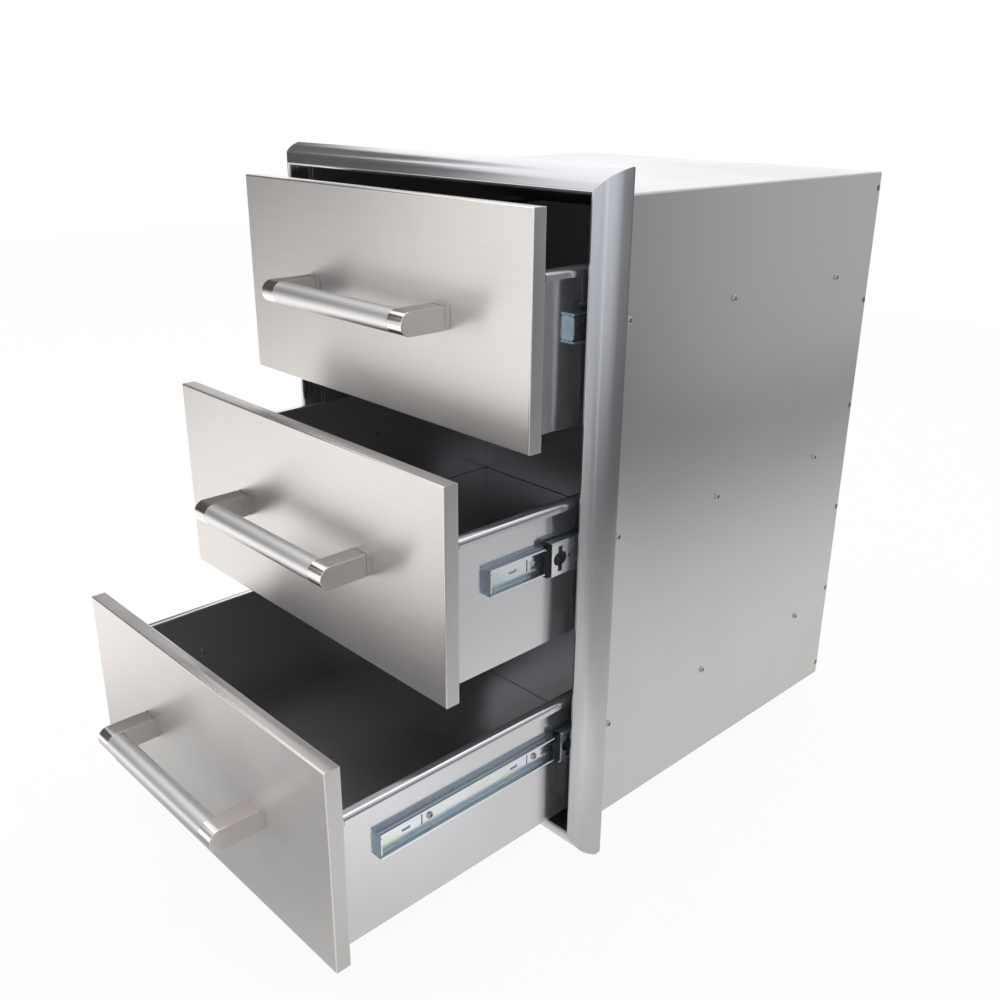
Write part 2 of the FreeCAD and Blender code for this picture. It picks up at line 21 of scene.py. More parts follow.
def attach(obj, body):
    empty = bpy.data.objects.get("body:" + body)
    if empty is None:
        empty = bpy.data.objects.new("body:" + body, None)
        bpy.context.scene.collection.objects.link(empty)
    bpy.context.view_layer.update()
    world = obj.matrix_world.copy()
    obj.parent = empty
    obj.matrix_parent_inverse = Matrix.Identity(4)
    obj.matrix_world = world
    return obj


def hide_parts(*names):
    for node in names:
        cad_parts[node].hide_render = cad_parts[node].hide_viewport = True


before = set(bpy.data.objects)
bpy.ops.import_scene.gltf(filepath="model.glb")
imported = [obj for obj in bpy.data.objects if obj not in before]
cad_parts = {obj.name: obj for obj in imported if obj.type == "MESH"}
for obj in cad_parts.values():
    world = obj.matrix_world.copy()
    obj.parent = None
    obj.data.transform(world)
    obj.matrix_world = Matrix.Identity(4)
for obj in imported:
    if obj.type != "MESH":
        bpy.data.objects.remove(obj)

LOG = logging.getLogger("drawer_unit")
MM = 0.001
WHITE = (1, 1, 1, 1)
RIGHTWARD = Vector((1, 0, 0))
Triple = tuple[float, float, float]
PlaceTest = Callable[[Vector, Vector], bool]
Socket = bpy.types.NodeSocket
Material = bpy.types.Material

# Lengths in millimetres: what counts as the same, a hair, a small clearance, and a cutter's excess
NEAR = 0.02
HAIR = 0.01
CLEAR = 0.1
EXCESS = 2.0

# Points closer than this, in metres, become one
MERGE = 1e-6

# Least share of an axis in the direction of what runs or faces along it
ALONG = 0.99

# Edges sharper than these angles, in degrees, stay sharp
SHEET_ANGLE = 35.0
HANDLE_ANGLE = 30.0
SCREW_ANGLE = 40.0

# Largest part of a normal on a flat sheet and on a fold
FLAT_NORMAL = 0.995
FOLD_NORMAL = 0.93

# Ranges of a noise that become all of a look's range
WIDE = (0.25, 0.75)
MIDDLE = (0.3, 0.7)
NARROW = (0.35, 0.65)

# Brushing: cells of the broad streaks for each cell of the fine ones, and the shader's turn by 90 degrees
BROAD = 0.1
QUARTER_TURN = 0.25

# Weld marks down the rear edge of the box's sides: places and sizes in metres
WELD_HEIGHTS = (0.300, 0.176, 0.0505, -0.080, -0.1915, -0.300)
WELD_Y = 0.4538
WELD_CORE = 0.0024
WELD_RIM = 0.0042
WELD_COLOUR = (0.32, 0.25, 0.17)
WELD_ROUGHNESS = 0.5


class Side(Enum):
    """Left or right of the unit, as seen from the front."""

    LEFT = -1
    RIGHT = 1

    @property
    def label(self) -> str:
        """Returns the side's name in the record."""
        return self.name.lower()

    @property
    def outward(self) -> Vector:
        """Returns the direction away from the unit's middle."""
        return Vector((self.value, 0, 0))


class Grain(Enum):
    """Direction in which a sheet is brushed."""

    ALONG_X = 0
    ALONG_Y = 1
    ALONG_Z = 2


class Level(Enum):
    """The three drawers, by their place in the stack."""

    TOP = "top"
    MIDDLE = "middle"
    BOTTOM = "bottom"


# Benches: a node bench for finishes and a work bench for shapes


class NodeBench:
    """Adds nodes to one node tree and joins them."""

    def __init__(self, tree: bpy.types.NodeTree) -> None:
        """Starts from an empty tree.

        Args:
            tree: The material's or the world's node tree.
        """
        self.tree = tree
        self.tree.nodes.clear()

    def add(self, kind: str, inputs: dict | None = None, **settings: object) -> bpy.types.Node:
        """Adds one node.

        Args:
            kind: Blender's name of the node type.
            inputs: Socket name or number, and the value or the output socket that feeds it.
            **settings: Properties of the node.

        Returns:
            The new node.
        """
        node = self.tree.nodes.new(kind)
        for key, value in settings.items():
            setattr(node, key, value)
        for key, value in (inputs or {}).items():
            if isinstance(value, Socket):
                self.tree.links.new(value, node.inputs[key])
            else:
                node.inputs[key].default_value = value
        return node

    @classmethod
    def material(cls, name: str) -> tuple[Material, NodeBench]:
        """Starts a material.

        Args:
            name: Name of the material.

        Returns:
            The material, and the bench of its nodes.
        """
        material = bpy.data.materials.new(name)
        material.use_nodes = True
        return material, cls(material.node_tree)

    def place(self, kind: str = "Object") -> Socket:
        """Returns the point in the piece's own coordinates, or another kind of texture coordinate."""
        return self.add("ShaderNodeTexCoord").outputs[kind]

    def ray(self, kind: str) -> Socket:
        """Returns 1 for the rays of one kind."""
        return self.add("ShaderNodeLightPath").outputs[kind]

    def part(self, vector: Socket, axis: str) -> Socket:
        """Returns a vector's part along "X", "Y" or "Z"."""
        return self.add("ShaderNodeSeparateXYZ", {0: vector}).outputs[axis]

    def vector(self, operation: str, first: object, second: object = (0.0, 0.0, 0.0)) -> Socket:
        """Adds a vector math node and returns its result, a number for a dot product or a distance."""
        node = self.add("ShaderNodeVectorMath", {0: first, 1: second}, operation=operation)
        return node.outputs["Value" if operation in ("DOT_PRODUCT", "DISTANCE") else "Vector"]

    def noise(self, scale: Triple | float, detail: float, roughness: float = 0.55,
              shift: float = 0.0) -> Socket:
        """Adds a noise that may be stretched.

        Args:
            scale: Cells per metre along X, Y and Z, or one number for all three.
            detail: Number of finer layers.
            roughness: Share of each finer layer.
            shift: Offset that makes the pattern a different one.

        Returns:
            The noise, from 0 to 1.
        """
        cells = (scale,) * 3 if isinstance(scale, float) else scale
        mapping = self.add("ShaderNodeMapping", {"Vector": self.place(), "Scale": cells,
                                                 "Location": (shift, shift, shift)})
        return self.add("ShaderNodeTexNoise", {"Vector": mapping.outputs["Vector"], "Scale": 1.0,
                                               "Detail": detail, "Roughness": roughness}).outputs["Fac"]

    def math(self, operation: str, first: object, second: object = 0.0) -> Socket:
        """Adds a math node and returns its result."""
        return self.add("ShaderNodeMath", {0: first, 1: second}, operation=operation).outputs[0]

    def ramp(self, value: Socket, low: float, high: float, to_low: float = 0.0,
             to_high: float = 1.0) -> Socket:
        """Turns the range from low to high into the one from to_low to to_high, with soft ends."""
        inputs = {"Value": value, "From Min": low, "From Max": high, "To Min": to_low, "To Max": to_high}
        return self.add("ShaderNodeMapRange", inputs, interpolation_type="SMOOTHSTEP").outputs["Result"]

    def mix(self, factor: object, first: object, second: object) -> Socket:
        """Mixes two colours, each three numbers or a socket. The factor is the second one's share."""
        first, second = (c if isinstance(c, Socket) else (*c, 1.0) for c in (first, second))
        return self.add("ShaderNodeMix", {0: factor, 6: first, 7: second}, data_type="RGBA").outputs[2]

    def blend(self, factor: object, first: object, second: object) -> Socket:
        """Mixes two numbers. The factor is the second one's share."""
        return self.add("ShaderNodeMix", {0: factor, 2: first, 3: second}, data_type="FLOAT").outputs[0]

    def shade(self, factor: object, first: Socket, second: Socket) -> Socket:
        """Mixes two shaders. The factor is the second one's share."""
        return self.add("ShaderNodeMixShader", {0: factor, 1: first, 2: second}).outputs[0]

    def coat(self, inputs: dict, relief: Socket, strength: float, depth: float) -> None:
        """Adds the surface's shader with a fine relief, and the material's output.

        Args:
            inputs: The shader's socket names and values.
            relief: Height of the relief, from 0 to 1.
            strength: Strength of the relief.
            depth: Its depth in metres.
        """
        bump = self.add("ShaderNodeBump", {"Strength": strength, "Distance": depth, "Height": relief})
        shader = self.add("ShaderNodeBsdfPrincipled", {**inputs, "Normal": bump.outputs["Normal"]})
        self.add("ShaderNodeOutputMaterial", {"Surface": shader.outputs[0]})


class Workpiece:
    """One mesh on the work bench, shaped with Blender's own operators."""

    def __init__(self, name: str) -> None:
        """Takes up the primitive that was just added, and fixes its place in its mesh.

        Args:
            name: Name of the piece.
        """
        self.obj = bpy.context.active_object
        self.obj.name = name
        self.obj.data.name = name
        bpy.ops.object.transform_apply(location=True, rotation=True, scale=True)

    @classmethod
    def block(cls, name: str, low: Vector, high: Vector) -> Workpiece:
        """Starts from a block.

        Args:
            name: Name of the piece.
            low: One of its corners, in millimetres.
            high: The opposite corner.

        Returns:
            The piece.
        """
        bpy.ops.mesh.primitive_cube_add(size=1, location=(low + high) / 2 * MM)
        bpy.context.active_object.scale = Vector([abs(size) for size in high - low]) * MM
        return cls(name)

    @classmethod
    def rod(cls, name: str, centre: Vector, along: Vector, radius: float, length: float,
            sides: int) -> Workpiece:
        """Starts from a round bar.

        Args:
            name: Name of the piece.
            centre: Middle of the bar, in millimetres.
            along: Direction of the bar.
            radius: Radius in millimetres.
            length: Length in millimetres.
            sides: Number of sides.

        Returns:
            The piece.
        """
        turn = Vector((0, 0, 1)).rotation_difference(along).to_euler()
        bpy.ops.mesh.primitive_cylinder_add(vertices=sides, radius=radius * MM, depth=length * MM,
                                            location=centre * MM, rotation=turn)
        return cls(name)

    @classmethod
    def sheet(cls, name: str, low: Vector, high: Vector) -> Workpiece:
        """Starts from a flat level sheet without thickness.

        Args:
            name: Name of the piece.
            low: Its first corner, in millimetres.
            high: Its opposite corner, at the same height.

        Returns:
            The piece.
        """
        bpy.ops.mesh.primitive_plane_add(size=1, location=(low + high) / 2 * MM)
        bpy.context.active_object.scale = ((high.x - low.x) * MM, (high.y - low.y) * MM, 1)
        return cls(name)

    def take(self, *others: Workpiece) -> None:
        """Selects the piece and makes it the active one.

        Args:
            *others: Pieces that are selected with it.
        """
        bpy.ops.object.select_all(action="DESELECT")
        for piece in (*others, self):
            piece.obj.select_set(True)
        bpy.context.view_layer.objects.active = self.obj

    def apply(self, kind: str, **settings: object) -> None:
        """Adds a modifier and applies it.

        Args:
            kind: Blender's name of the modifier's type.
            **settings: Its properties.
        """
        modifier = self.obj.modifiers.new(kind.lower(), kind)
        for key, value in settings.items():
            setattr(modifier, key, value)
        bpy.context.view_layer.objects.active = self.obj
        bpy.ops.object.modifier_apply(modifier=modifier.name)

    def fold(self, test: PlaceTest, step: Vector) -> None:
        """Draws a new strip of sheet out of the edges that pass a test, by a step in millimetres."""
        self.edit("EDGE", test,
                  lambda: bpy.ops.mesh.extrude_region_move(TRANSFORM_OT_translate={"value": step * MM}))

    def select(self, kind: str, test: PlaceTest) -> int:
        """Selects edges or faces in edit mode.

        Args:
            kind: "EDGE" or "FACE".
            test: Takes the middle in millimetres and the direction or normal.

        Returns:
            How many are selected.
        """
        bpy.context.view_layer.objects.active = self.obj
        bpy.ops.object.mode_set(mode="EDIT")
        bpy.ops.mesh.select_mode(type=kind)
        bpy.ops.mesh.select_all(action="DESELECT")
        mesh = bmesh.from_edit_mesh(self.obj.data)
        count = 0
        for item in mesh.edges if kind == "EDGE" else mesh.faces:
            if kind == "EDGE":
                middle = (item.verts[0].co + item.verts[1].co) / 2
                heading = (item.verts[1].co - item.verts[0].co).normalized()
            else:
                middle = item.calc_center_median()
                heading = item.normal
            if test(middle / MM, heading):
                item.select_set(True)
                count += 1
        bmesh.update_edit_mesh(self.obj.data)
        return count

    def edit(self, kind: str, test: PlaceTest, *steps: Callable[[], object]) -> None:
        """Takes steps in edit mode on the edges or faces that pass a test, if there are any.

        Args:
            kind: "EDGE" or "FACE".
            test: Takes the middle in millimetres and the direction or normal.
            *steps: Operators, called one after the other.
        """
        if self.select(kind, test):
            for step in steps:
                step()
        bpy.ops.object.mode_set(mode="OBJECT")

    def bevel(self, test: PlaceTest, width: float, strips: int) -> None:
        """Rounds the edges that pass a test, by a width in millimetres and with so many strips."""
        self.edit("EDGE", test, lambda: bpy.ops.mesh.bevel(offset=width * MM, segments=strips, profile=0.5,
                                                           affect="EDGES", clamp_overlap=True))

    def cut(self, point: Vector, normal: Vector) -> None:
        """Cuts off what lies before a plane through a point in millimetres, and closes the cut."""
        self.edit("FACE", anywhere, lambda: bpy.ops.mesh.bisect(
            plane_co=point * MM, plane_no=normal, use_fill=True, clear_outer=True, threshold=MERGE))

    def sink(self, test: PlaceTest, rim: float, depth: Vector) -> None:
        """Leaves a rim on the faces that pass a test, and pushes the rest in. Both are in millimetres."""
        self.edit("FACE", test, lambda: bpy.ops.mesh.inset(thickness=rim * MM, use_even_offset=True),
                  lambda: bpy.ops.mesh.extrude_region_move(TRANSFORM_OT_translate={"value": depth * MM}))

    def combine(self, other: Workpiece, operation: str) -> None:
        """Uses up another piece by a "UNION", a "DIFFERENCE" or an "INTERSECT"."""
        self.apply("BOOLEAN", operation=operation, object=other.obj, solver="EXACT")
        bpy.data.objects.remove(other.obj, do_unlink=True)

    def join(self, other: Workpiece) -> None:
        """Puts another piece's mesh into this one's, without a union."""
        self.take(other)
        bpy.ops.object.join()

    def twin(self, name: str, shift: Vector) -> Workpiece:
        """Copies the piece with its own mesh.

        Args:
            name: Name of the copy.
            shift: How far the copy is moved, in millimetres.

        Returns:
            The copy.
        """
        self.take()
        bpy.ops.object.duplicate(linked=False)
        bpy.context.active_object.location = shift * MM
        return Workpiece(name)

    def mirror(self) -> None:
        """Turns the piece into its left-hand twin."""
        self.take()
        self.obj.scale = (-1, 1, 1)
        bpy.ops.object.transform_apply(scale=True)
        self.tidy()

    def shift(self, step: Vector) -> None:
        """Moves the piece.

        Args:
            step: The way that it goes, in millimetres.
        """
        self.take()
        self.obj.location = step * MM
        bpy.ops.object.transform_apply(location=True)

    def tidy(self) -> None:
        """Merges doubled points and turns all faces outwards."""
        self.edit("FACE", anywhere, lambda: bpy.ops.mesh.remove_doubles(threshold=MERGE),
                  lambda: bpy.ops.mesh.normals_make_consistent(inside=False))

    def finish(self, finish: Material, body: str, slot: str, nodes: list[str],
               angle: float = SHEET_ANGLE) -> None:
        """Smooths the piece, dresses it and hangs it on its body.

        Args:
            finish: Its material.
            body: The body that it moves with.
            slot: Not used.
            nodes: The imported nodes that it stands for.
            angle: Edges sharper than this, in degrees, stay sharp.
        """
        self.take()
        bpy.ops.object.shade_smooth_by_angle(angle=math.radians(angle))
        self.apply("WEIGHTED_NORMAL", keep_sharp=True)
        self.obj.data.materials.clear()
        self.obj.data.materials.append(finish)
        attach(self.obj, body)
        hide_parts(*nodes)
        LOG.info("%s: %d faces, rides on %s", self.obj.name, len(self.obj.data.polygons), body)


def sine(angle: float) -> float:
    """Returns the sine of an angle in degrees."""
    return math.sin(math.radians(angle))


def cosine(angle: float) -> float:
    """Returns the cosine of an angle in degrees."""
    return math.cos(math.radians(angle))


def near(first: float, second: float) -> bool:
    """Tells whether two lengths in millimetres are the same."""
    return abs(first - second) < NEAR


def anywhere(middle: Vector, heading: Vector) -> bool:
    """Passes every edge and face."""
    return True


def along_y(x: float, z: float) -> PlaceTest:
    """Returns a test for the edges along Y at a distance from the middle and at a height."""
    return lambda m, d: near(abs(m.x), x) and near(m.z, z) and abs(d.y) > ALONG


# Finishes


@dataclass(frozen=True)
class Inside:
    """Tone of a sheet on the side that faces into the box or the tub: painted shade where it is darker than
    the outside, painted light where it is lighter.
    """

    colour: Triple
    roughness: float
    metal: float
    half_width: float
    smoother: float = 0.02
    rougher: float = 0.03


@dataclass(frozen=True)
class BrushedSteel:
    """Stainless sheet, brushed one way, slightly clouded, smoother along its folds and with a painted
    highlight on them.
    """

    name: str
    colour: Triple
    roughness: float
    grain: Grain
    streaks: float = 0.06
    clouds: float = 0.06
    anisotropy: float = 0.4
    metal: float = 1.0
    fold_gain: float = 1.0
    fold_roughness: float = 0.14
    # Painted tone for the side that faces in: shade in the box, the tubs and behind the frame, light on the
    # liner
    inside: Inside | None = None
    weld_marks: bool = False
    cells_across: float = 2400.0
    cells_along: float = 22.0
    broad_share: float = 0.3
    streak_spread: float = 0.012
    cloud_cells: float = 5.0
    cloud_spread: float = 0.015
    relief: float = 0.02
    relief_depth: float = 0.00001

    def material(self) -> Material:
        """Builds the finish's nodes.

        Returns:
            The material.
        """
        material, bench = NodeBench.material(self.name)
        scale = [self.cells_across] * 3
        scale[self.grain.value] = self.cells_along
        fine = bench.noise(tuple(scale), detail=2.0, roughness=0.6)
        broad = bench.noise(tuple(cells * BROAD for cells in scale), detail=3.0, shift=7.0)
        cloud = bench.noise(self.cloud_cells, detail=3.0, shift=3.0)
        streak = bench.math("ADD", bench.math("MULTIPLY", fine, 1.0 - self.broad_share),
                            bench.math("MULTIPLY", broad, self.broad_share))
        shade = bench.ramp(streak, *MIDDLE, 1.0 - self.streaks / 2, 1.0 + self.streaks / 2)
        shade = bench.math("MULTIPLY", shade, bench.ramp(cloud, *MIDDLE, 1.0 - self.clouds, 1.0))
        rough = bench.ramp(streak, *WIDE, self.roughness - self.streak_spread,
                           self.roughness + self.streak_spread)
        uneven = bench.ramp(cloud, *NARROW, -self.cloud_spread, self.cloud_spread)
        rough = bench.math("ADD", rough, uneven)
        colour: object = self.colour
        metal: object = self.metal
        # Painted highlight along the folds: their colour is raised by the gain, while their lower roughness
        # stands for a polished bend
        if self.fold_gain != 1.0:
            fold = self.fold(bench)
            shade = bench.math("MULTIPLY", shade, bench.ramp(fold, 0.0, 1.0, 1.0, self.fold_gain))
            rough = bench.blend(fold, rough, self.fold_roughness)
        # Paints the side that faces in with its own tone: painted shade on the box, the tubs and the frame,
        # painted light on the liner
        if self.inside is not None:
            inner, look = self.inner(bench), self.inside
            calm = bench.ramp(cloud, *NARROW, look.roughness - look.smoother, look.roughness + look.rougher)
            colour = bench.mix(inner, self.colour, look.colour)
            rough = bench.blend(inner, rough, calm)
            metal = bench.blend(inner, self.metal, look.metal)
        if self.weld_marks:
            marks = self.marks(bench)
            colour = bench.mix(marks, colour, WELD_COLOUR)
            rough = bench.blend(marks, rough, WELD_ROUGHNESS)
        shaded = bench.add("ShaderNodeVectorMath", {0: colour, 3: shade}, operation="SCALE").outputs[0]
        turned = 0.0 if self.grain is Grain.ALONG_Z else QUARTER_TURN
        bench.coat({"Base Color": shaded, "Metallic": metal, "Roughness": rough,
                    "Anisotropic": self.anisotropy, "Anisotropic Rotation": turned},
                   fine, self.relief, self.relief_depth)
        return material

    def inner(self, bench: NodeBench) -> Socket:
        """Returns 1 on the faces that look into the box or the tub."""
        across = bench.math("ABSOLUTE", bench.part(bench.place(), "X"))
        return bench.math("LESS_THAN", across, self.inside.half_width * MM)

    @staticmethod
    def fold(bench: NodeBench) -> Socket:
        """Finds the folds, where the sheet's face is turned away from all three axes.

        Args:
            bench: Node bench of the material.

        Returns:
            1 on the folds and 0 on the flats.
        """
        size = bench.vector("ABSOLUTE", bench.place("Normal"))
        x, y, z = (bench.part(size, axis) for axis in "XYZ")
        return bench.ramp(bench.math("MAXIMUM", bench.math("MAXIMUM", x, y), z), FLAT_NORMAL, FOLD_NORMAL)

    @staticmethod
    def marks(bench: NodeBench) -> Socket:
        """Draws the small welds down the rear edge of the box's sides.

        Args:
            bench: Node bench of the material.

        Returns:
            1 on the welds and 0 elsewhere.
        """
        place = bench.place()
        height = bench.part(place, "Z")
        up: object = 1.0
        for level in WELD_HEIGHTS:
            up = bench.math("MINIMUM", up, bench.math("ABSOLUTE", bench.math("SUBTRACT", height, level)))
        back = bench.math("SUBTRACT", bench.part(place, "Y"), WELD_Y)
        square = bench.math("ADD", bench.math("MULTIPLY", up, up), bench.math("MULTIPLY", back, back))
        return bench.ramp(bench.math("SQRT", square), WELD_RIM, WELD_CORE)


@dataclass(frozen=True)
class ZincPlate:
    """Steel strip with clear zinc plating that shows faint colours, with a darker, bluer painted shade on the
    faces that don't face sideways.
    """

    name: str
    smoothest: float = 0.17
    roughest: float = 0.30
    metal: float = 0.88
    blue: Triple = (0.70, 0.81, 0.84)
    grey: Triple = (0.84, 0.86, 0.88)
    pink: Triple = (0.88, 0.80, 0.88)
    green: Triple = (0.83, 0.90, 0.74)
    # Blue grey of the painted shade on the flanges' tops and the strips' ends
    edge: Triple = (0.36, 0.46, 0.52)
    wash_cells: Triple = (30.0, 22.0, 60.0)
    tone_cells: Triple = (50.0, 35.0, 90.0)
    grit_cells: float = 900.0
    relief: float = 0.05
    relief_depth: float = 0.0002

    def material(self) -> Material:
        """Builds the finish's nodes.

        Returns:
            The material.
        """
        material, bench = NodeBench.material(self.name)
        wash = bench.noise(self.wash_cells, detail=3.0, roughness=0.6)
        tone = bench.noise(self.tone_cells, detail=2.0, shift=5.0)
        colour = bench.mix(bench.ramp(wash, 0.35, 0.5), self.blue, self.grey)
        colour = bench.mix(bench.ramp(wash, 0.52, 0.68), colour, self.pink)
        colour = bench.mix(bench.ramp(tone, 0.52, 0.7), colour, self.green)
        # Painted shade: faces turned away from ±X, the flanges' tops and the strips' ends, are darkened
        # towards a blue grey
        across = bench.math("ABSOLUTE", bench.part(bench.place("Normal"), "X"))
        colour = bench.mix(bench.ramp(across, 0.9, 0.4), colour, self.edge)
        rough = bench.ramp(tone, *MIDDLE, self.smoothest, self.roughest)
        grit = bench.noise(self.grit_cells, detail=2.0)
        bench.coat({"Base Color": colour, "Metallic": self.metal, "Roughness": rough},
                   grit, self.relief, self.relief_depth)
        return material


@dataclass(frozen=True)
class GuidePlastic:
    """Black moulded plastic with a fine grain."""

    name: str
    dark: Triple = (0.003, 0.003, 0.004)
    pale: Triple = (0.009, 0.009, 0.011)
    smoothest: float = 0.38
    roughest: float = 0.55
    gloss: float = 0.3
    patch_cells: float = 120.0
    grit_cells: float = 2500.0
    relief: float = 0.15
    relief_depth: float = 0.0001

    def material(self) -> Material:
        """Builds the finish's nodes.

        Returns:
            The material.
        """
        material, bench = NodeBench.material(self.name)
        patch = bench.noise(self.patch_cells, detail=3.0)
        colour = bench.mix(bench.ramp(patch, 0.4, 0.7), self.dark, self.pale)
        rough = bench.ramp(patch, *MIDDLE, self.smoothest, self.roughest)
        grit = bench.noise(self.grit_cells, detail=1.0)
        bench.coat({"Base Color": colour, "Roughness": rough, "Specular IOR Level": self.gloss},
                   grit, self.relief, self.relief_depth)
        return material


class Finishes:
    """All finishes of the unit."""

    def __init__(self) -> None:
        """Builds the materials once."""
        # Painted shade: the box's inner faces, its floor and its back are darker than its outer sides
        box_painted_shade = Inside((0.44, 0.43, 0.44), roughness=0.22, metal=0.75, half_width=215.4)
        self.frame_rail = BrushedSteel(
            "frame_rail_steel", (0.62, 0.62, 0.635), 0.18, Grain.ALONG_X).material()
        # The stiles' inner flanges behind the opening get a near-black painted shade
        self.frame_stile = BrushedSteel(
            "frame_stile_steel", (0.60, 0.595, 0.61), 0.26, Grain.ALONG_Z, streaks=0.08,
            inside=Inside((0.04, 0.04, 0.04), roughness=0.5, metal=1.0, half_width=218.2)).material()
        self.box = BrushedSteel(
            "box_steel", (0.66, 0.66, 0.655), 0.25, Grain.ALONG_Z, streaks=0.04, clouds=0.05,
            anisotropy=0.2, inside=box_painted_shade, weld_marks=True).material()
        self.back = BrushedSteel(
            "back_steel", (0.60, 0.60, 0.60), 0.25, Grain.ALONG_Z, streaks=0.04,
            inside=replace(box_painted_shade, half_width=216.0)).material()
        self.front = BrushedSteel(
            "front_steel", (0.655, 0.637, 0.622), 0.30, Grain.ALONG_X, clouds=0.08, anisotropy=0.8,
            metal=0.88, fold_gain=1.3).material()
        # Painted light: the liner is made lighter and nearly matt all over, so that the fronts reflect it
        # brighter
        self.liner = BrushedSteel(
            "liner_steel", (0.72, 0.71, 0.70), 0.45, Grain.ALONG_X, streaks=0.03,
            inside=Inside((0.86, 0.85, 0.85), roughness=0.50, metal=0.2, half_width=220.0)).material()
        # Painted shade: the tubs' inner faces are darker than their outsides
        self.tub = BrushedSteel(
            "tub_steel", (0.73, 0.725, 0.745), 0.17, Grain.ALONG_Y, streaks=0.03, anisotropy=0.2,
            metal=0.90, fold_gain=1.2,
            inside=Inside((0.52, 0.505, 0.52), roughness=0.13, metal=0.72, half_width=201.7)).material()
        self.tube = BrushedSteel(
            "handle_tube_steel", (0.74, 0.735, 0.735), 0.40, Grain.ALONG_X, streaks=0.10,
            anisotropy=0.0).material()
        self.post = BrushedSteel(
            "handle_post_steel", (0.73, 0.68, 0.655), 0.24, Grain.ALONG_Y, streaks=0.03,
            anisotropy=0.0, fold_gain=1.2, fold_roughness=0.09).material()
        self.zinc = ZincPlate("slide_zinc").material()
        self.cage = BrushedSteel(
            "cage_steel", (0.55, 0.55, 0.56), 0.22, Grain.ALONG_Y, anisotropy=0.0).material()
        self.screw = BrushedSteel(
            "screw_steel", (0.50, 0.50, 0.49), 0.22, Grain.ALONG_X, anisotropy=0.0).material()
        self.guide = GuidePlastic("guide_plastic").material()


def dress(node: str, material: Material) -> None:
    """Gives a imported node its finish.

    Args:
        node: Name of the node.
        material: Its finish.
    """
    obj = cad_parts[node]
    for slot in obj.material_slots:
        slot.material = material
    LOG.info("%s: packed shape, %s", node, material.name)


@dataclass(frozen=True)
class CrossScrew:
    """A dome-head screw with a cross recess, modelled once and copied to its places."""

    head_radius: float
    head_height: float
    shank_radius: float
    shank_length: float
    slot_length: float = 4.0
    slot_width: float = 1.15
    slot_depth: float = 1.5
    dome: float = 0.82

    def pattern(self, outward: Vector) -> Workpiece:
        """Models one screw at the origin.

        Args:
            outward: Direction that its head faces, along an axis.

        Returns:
            The screw.
        """
        top = outward * self.head_height
        screw = Workpiece.rod("screw", top / 2, outward, self.head_radius, self.head_height, sides=32)
        screw.bevel(lambda m, d: near(m.dot(outward), self.head_height),
                    self.head_height * self.dome, strips=5)
        across = Vector((outward.z, outward.x, outward.y))
        for long, short in ((across, outward.cross(across)), (outward.cross(across), across)):
            reach = outward * self.slot_depth + long * self.slot_length / 2 + short * self.slot_width / 2
            screw.combine(Workpiece.block("slot", top - reach, top + reach), "DIFFERENCE")
        screw.join(Workpiece.rod("shank", outward * (CLEAR - self.shank_length / 2), outward,
                                 self.shank_radius, self.shank_length + 2 * CLEAR, sides=20))
        return screw

    def set_in(self, name: str, places: list[tuple[Vector, Vector]]) -> Workpiece:
        """Copies the screw to its places and joins the copies into one piece.

        Args:
            name: Name of the piece.
            places: Direction that the head faces, and the seat of the head in millimetres.

        Returns:
            The piece.
        """
        patterns: dict[tuple[float, ...], Workpiece] = {}
        for outward, _ in places:
            if tuple(outward) not in patterns:
                patterns[tuple(outward)] = self.pattern(outward)
        screws = [patterns[tuple(outward)].twin(f"{name}_{count}", seat)
                  for count, (outward, seat) in enumerate(places)]
        for pattern in patterns.values():
            bpy.data.objects.remove(pattern.obj, do_unlink=True)
        first = screws[0]
        for other in screws[1:]:
            first.join(other)
        first.obj.name = name
        first.obj.data.name = name
        return first


# Sub-assemblies


@dataclass(frozen=True)
class Bend:
    """One arc of the rolled profile.

    Its ends are given by the directions that they face, in degrees from the front, away from the opening.
    """

    radius: float
    first: float
    last: float
    strips: int


